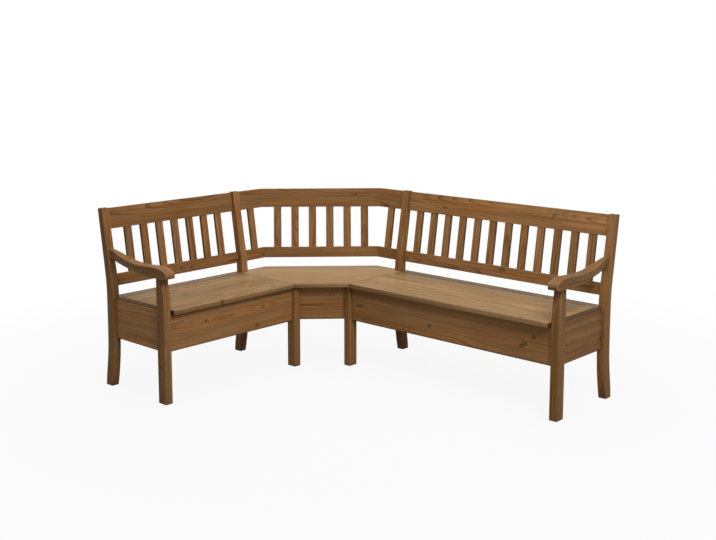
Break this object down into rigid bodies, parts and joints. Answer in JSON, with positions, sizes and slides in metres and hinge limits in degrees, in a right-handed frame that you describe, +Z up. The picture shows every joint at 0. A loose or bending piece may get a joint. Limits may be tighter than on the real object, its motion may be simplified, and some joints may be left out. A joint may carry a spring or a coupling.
{
  "type": "corner storage bench",
  "caption": "Wooden corner bench with slatted leaning backs, swept armrests and hinged seat lids over storage chests.",
  "frame": {"origin": "middle of the bounding box, on the floor", "axes": "+X along the long bench away from the corner, -Y along the short bench away from the corner, +Z up"},
  "size_m": [2.0854, 1.6394, 0.926],
  "materials": {
    "frame_pine": "brown stained pine, satin lacquer",
    "seat_pine": "light brown stained pine, satin lacquer",
    "hinge_metal": "dark bronzed steel strip"
  },
  "bodies": {
    "bench": {"corner_apron": "frame_pine", "corner_lower_rail": "frame_pine", "corner_seat_board": "seat_pine", "corner_seat_rail": "frame_pine", "corner_slat_1": "frame_pine", "corner_slat_2": "frame_pine", "corner_slat_3": "frame_pine", "corner_slat_4": "frame_pine", "corner_slat_5": "frame_pine", "corner_slat_6": "frame_pine", "corner_top_rail": "frame_pine", "left_arm_post": "frame_pine", "left_armrest": "frame_pine", "left_chest_bottom": "seat_pine", "left_corner_leg": "frame_pine", "left_corner_panel": "frame_pine", "left_corner_rear_post": "frame_pine", "left_end_panel": "frame_pine", "left_front_panel": "frame_pine", "left_hinge_fixed_leaf": "hinge_metal", "left_hinge_pin": "hinge_metal", "left_ledge": "seat_pine", "left_lower_rail": "frame_pine", "left_rear_panel": "frame_pine", "left_rear_post": "frame_pine", "left_slat_1": "frame_pine", "left_slat_2": "frame_pine", "left_slat_3": "frame_pine", "left_slat_4": "frame_pine", "left_slat_5": "frame_pine", "left_slat_6": "frame_pine", "left_slat_7": "frame_pine", "left_top_rail": "frame_pine", "left_wing_lower_rail": "frame_pine", "left_wing_seat_rail": "frame_pine", "left_wing_slat": "frame_pine", "left_wing_top_rail": "frame_pine", "right_arm_post": "frame_pine", "right_armrest": "frame_pine", "right_chest_bottom": "seat_pine", "right_corner_leg": "frame_pine", "right_corner_panel": "frame_pine", "right_corner_rear_post": "frame_pine", "right_end_panel": "frame_pine", "right_front_panel": "frame_pine", "right_hinge_fixed_leaf": "hinge_metal", "right_hinge_pin": "hinge_metal", "right_ledge": "seat_pine", "right_rear_panel": "frame_pine", "right_rear_post": "frame_pine", "right_slat_rack": "frame_pine", "right_top_rail": "frame_pine", "right_wing_lower_rail": "frame_pine", "right_wing_seat_rail": "frame_pine", "right_wing_slat": "frame_pine", "right_wing_top_rail": "frame_pine"},
    "left_lid_body": {"left_lid": "seat_pine", "left_hinge_lid_leaf": "hinge_metal"},
    "right_lid_body": {"right_lid": "seat_pine", "right_hinge_lid_leaf": "hinge_metal"}
  },
  "joints": [
    {"name": "left_lid_hinge", "type": "hinge", "parent": "bench", "child": "left_lid_body", "pos_m": [-0.92028, -0.34772, 0.47], "axis": [0, -1, 0], "range_deg": [0, 102.5]},
    {"name": "right_lid_hinge", "type": "hinge", "parent": "bench", "child": "right_lid_body", "pos_m": [0.34772, 0.69728, 0.47], "axis": [-1, 0, 0], "range_deg": [0, 102.5]}
  ]
}
